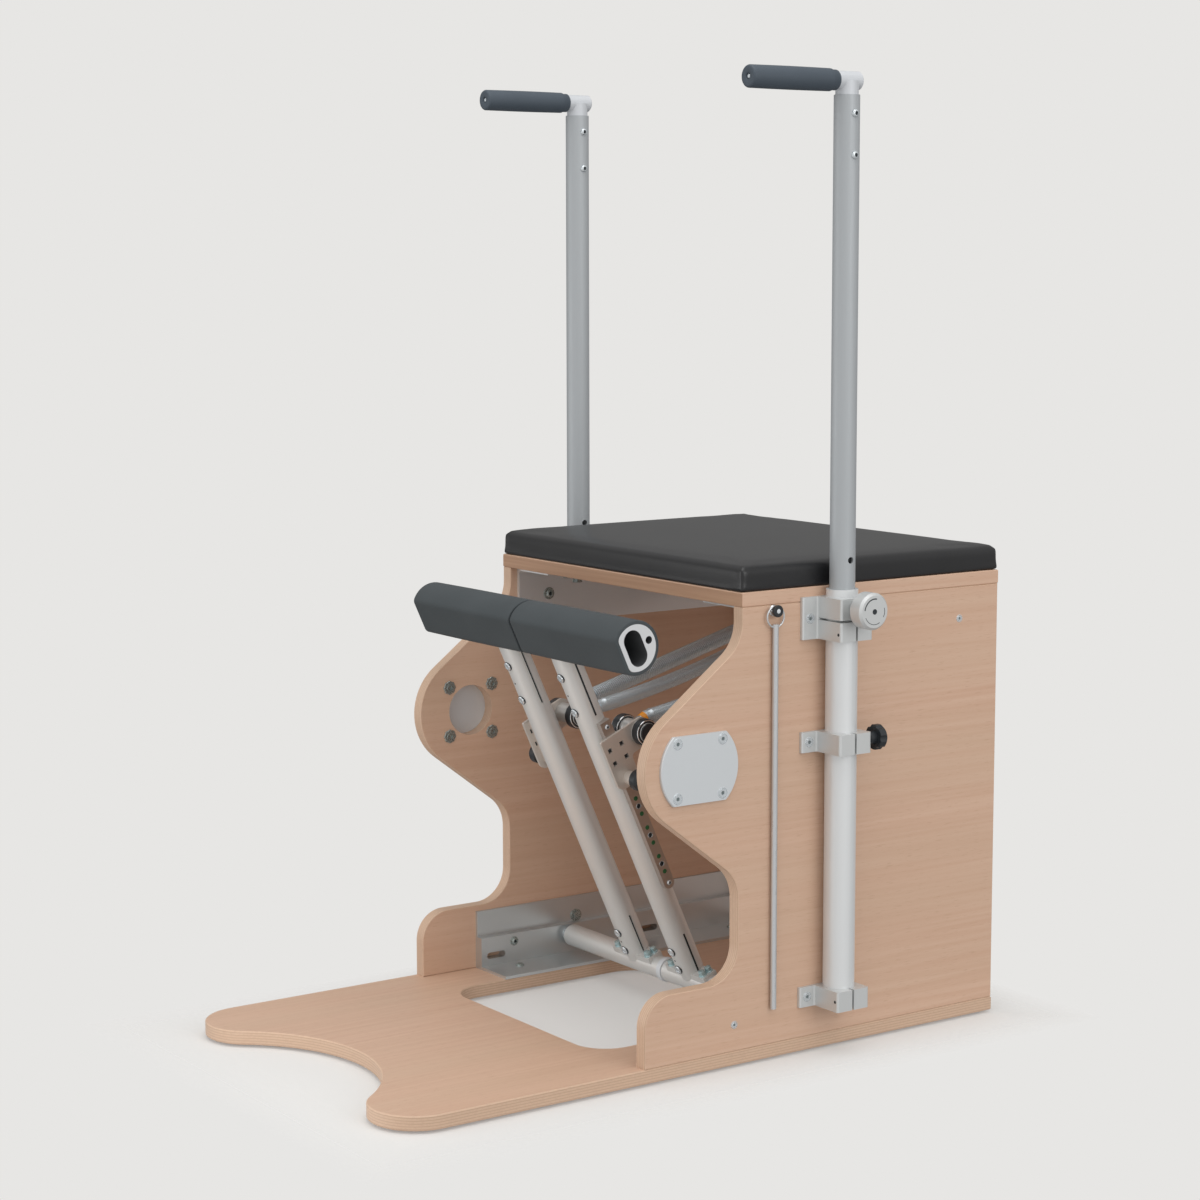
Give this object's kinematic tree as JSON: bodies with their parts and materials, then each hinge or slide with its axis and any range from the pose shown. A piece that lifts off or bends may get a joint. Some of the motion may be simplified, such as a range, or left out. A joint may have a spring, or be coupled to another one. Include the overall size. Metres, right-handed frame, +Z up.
{
  "type": "pilates chair",
  "caption": "Plywood pilates chair with a padded seat, split spring-loaded foot pedals, height-adjustable handle posts and a long base board.",
  "frame": {"origin": "on the floor under the middle of the whole part's bounding box", "axes": "+Z up, -Y the front where the pedals and the base board reach out, +X the right of someone facing the front"},
  "size_m": [0.702, 0.912, 1.2227],
  "materials": {
    "beech_ply": "clear matt lacquer on beech plywood",
    "seat_vinyl": "charcoal upholstery vinyl",
    "slate_foam": "slate foam, fine matt skin",
    "black_rubber": "matt",
    "black_plastic": "moulded, satin",
    "white_plastic": "turned, matt",
    "satin_aluminium": "satin anodised",
    "raw_aluminium": "mill finish",
    "zinc_steel": "zinc plated",
    "spring_steel": "bright nickel plated wire",
    "chrome": "polished"
  },
  "bodies": {
    "frame": {"base_board": "beech_ply", "side_panel_left": "beech_ply", "side_panel_right": "beech_ply", "top_board": "beech_ply", "back_panel": "beech_ply", "seat_cushion": "seat_vinyl", "base_feet": "black_rubber", "tee_nuts": "zinc_steel", "pedal_axle": "zinc_steel", "axle_spacer": "white_plastic", "spring_anchor_bar": "zinc_steel", "rod_hook": "black_plastic", "cover_plate_left": "satin_aluminium", "cover_plate_right": "satin_aluminium", "base_rail_left": "raw_aluminium", "base_rail_right": "raw_aluminium", "top_rail_left": "raw_aluminium", "top_rail_right": "raw_aluminium", "upper_clamp_left": "satin_aluminium", "upper_clamp_right": "satin_aluminium", "middle_clamp_left": "satin_aluminium", "middle_clamp_right": "satin_aluminium", "lower_clamp_left": "satin_aluminium", "lower_clamp_right": "satin_aluminium", "post_sleeve_left": "satin_aluminium", "post_sleeve_right": "satin_aluminium"},
    "coupling_rod_body": {"coupling_rod": "zinc_steel"},
    "pedal_left": {"pad_core_left": "satin_aluminium", "pad_cover_left": "slate_foam", "pedal_arm_left": "satin_aluminium", "pivot_sleeve_left": "satin_aluminium", "arm_saddle_left": "satin_aluminium", "hole_rail_left": "raw_aluminium"},
    "slider_left": {"spring_slider_left": "zinc_steel"},
    "plunger_left": {"slider_plunger_left": "black_plastic"},
    "hub_left": {"spring_hub_left": "zinc_steel"},
    "spring_front_left": {"spring_front_ends_left": "chrome"},
    "spring_rear_left": {"springs_left": "spring_steel"},
    "handle_left": {"handle_post_left": "satin_aluminium", "handle_tee_left": "satin_aluminium", "handle_grip_left": "slate_foam"},
    "lock_left": {"lock_knob_left": "satin_aluminium"},
    "star_left": {"star_knob_left": "black_plastic"},
    "pedal_right": {"pad_core_right": "satin_aluminium", "pad_cover_right": "slate_foam", "pedal_arm_right": "satin_aluminium", "pivot_sleeve_right": "satin_aluminium", "arm_saddle_right": "satin_aluminium", "hole_rail_right": "raw_aluminium"},
    "slider_right": {"spring_slider_right": "zinc_steel"},
    "plunger_right": {"slider_plunger_right": "black_plastic"},
    "hub_right": {"spring_hub_right": "zinc_steel"},
    "spring_front_right": {"spring_front_ends_right": "chrome"},
    "spring_rear_right": {"springs_right": "spring_steel"},
    "handle_right": {"handle_post_right": "satin_aluminium", "handle_tee_right": "satin_aluminium", "handle_grip_right": "slate_foam"},
    "lock_right": {"lock_knob_right": "satin_aluminium"},
    "star_right": {"star_knob_right": "black_plastic"}
  },
  "joints": [
    {"name": "rod_swing", "type": "hinge", "parent": "frame", "child": "coupling_rod_body", "pos_m": [0.2729, 0.082, 0.568], "axis": [1, 0, 0], "range_deg": [-12, 3]},
    {"name": "pedal_left_turn", "type": "hinge", "parent": "frame", "child": "pedal_left", "pos_m": [-0.061, 0.1192, 0.051], "axis": [1, 0, 0], "range_deg": [0, 64], "stiffness_Nm_per_rad": 40, "springref_deg": -28.65},
    {"name": "slider_left_slide", "type": "slide", "parent": "pedal_left", "child": "slider_left", "axis": [0, -0.4155, 0.9096], "range_m": [-0.132, 0]},
    {"name": "plunger_left_pull", "type": "slide", "parent": "slider_left", "child": "plunger_left", "axis": [-1, 0, 0], "range_m": [0, 0.008], "stiffness_N_per_m": 400, "springref_m": -0.005},
    {"name": "hub_left_turn", "type": "hinge", "parent": "slider_left", "child": "hub_left", "pos_m": [-0.075, 0.01064, 0.39939], "axis": [1, 0, 0], "range_deg": [0, 18.2]},
    {"name": "spring_left_swing", "type": "hinge", "parent": "hub_left", "child": "spring_front_left", "pos_m": [-0.075, 0.01064, 0.39939], "axis": [1, 0, 0], "range_deg": [-47.82, 0]},
    {"name": "spring_left_stretch", "type": "slide", "parent": "spring_front_left", "child": "spring_rear_left", "axis": [0, 0.9638, 0.2667], "range_m": [0, 0.3524], "deforming": ["springs_left"]},
    {"name": "handle_left_slide", "type": "slide", "parent": "frame", "child": "handle_left", "axis": [0, 0, 1], "range_m": [-0.059, 0.177]},
    {"name": "lock_left_pull", "type": "slide", "parent": "frame", "child": "lock_left", "axis": [-1, 0, 0], "range_m": [0, 0.008], "stiffness_N_per_m": 600, "springref_m": -0.005},
    {"name": "star_left_turn", "type": "hinge", "parent": "frame", "child": "star_left", "pos_m": [-0.309, 0.21, 0.403], "axis": [0, 1, 0], "range_deg": [0, 360]},
    {"name": "pedal_right_turn", "type": "hinge", "parent": "frame", "child": "pedal_right", "pos_m": [0.061, 0.1192, 0.051], "axis": [1, 0, 0], "range_deg": [0, 64], "stiffness_Nm_per_rad": 40, "springref_deg": -28.65},
    {"name": "slider_right_slide", "type": "slide", "parent": "pedal_right", "child": "slider_right", "axis": [0, -0.4155, 0.9096], "range_m": [-0.132, 0]},
    {"name": "plunger_right_pull", "type": "slide", "parent": "slider_right", "child": "plunger_right", "axis": [1, 0, 0], "range_m": [0, 0.008], "stiffness_N_per_m": 400, "springref_m": -0.005},
    {"name": "hub_right_turn", "type": "hinge", "parent": "slider_right", "child": "hub_right", "pos_m": [0.075, 0.01064, 0.39939], "axis": [1, 0, 0], "range_deg": [0, 18.2]},
    {"name": "spring_right_swing", "type": "hinge", "parent": "hub_right", "child": "spring_front_right", "pos_m": [0.075, 0.01064, 0.39939], "axis": [1, 0, 0], "range_deg": [-47.82, 0]},
    {"name": "spring_right_stretch", "type": "slide", "parent": "spring_front_right", "child": "spring_rear_right", "axis": [0, 0.9638, 0.2667], "range_m": [0, 0.3524], "deforming": ["springs_right"]},
    {"name": "handle_right_slide", "type": "slide", "parent": "frame", "child": "handle_right", "axis": [0, 0, 1], "range_m": [-0.059, 0.177]},
    {"name": "lock_right_pull", "type": "slide", "parent": "frame", "child": "lock_right", "axis": [1, 0, 0], "range_m": [0, 0.008], "stiffness_N_per_m": 600, "springref_m": -0.005},
    {"name": "star_right_turn", "type": "hinge", "parent": "frame", "child": "star_right", "pos_m": [0.309, 0.21, 0.403], "axis": [0, 1, 0], "range_deg": [0, 360]}
  ],
  "couplings": [
    {"joint": "hub_left_turn", "follows": "slider_left_slide", "rad_per_m": -2.3994},
    {"joint": "spring_left_swing", "follows": "pedal_left_turn", "ratio": -0.74636},
    {"joint": "spring_left_stretch", "follows": "pedal_left_turn", "m_per_rad": 0.31507},
    {"joint": "hub_right_turn", "follows": "slider_right_slide", "rad_per_m": -2.3994},
    {"joint": "spring_right_swing", "follows": "pedal_right_turn", "ratio": -0.74636},
    {"joint": "spring_right_stretch", "follows": "pedal_right_turn", "m_per_rad": 0.31507}
  ]
}
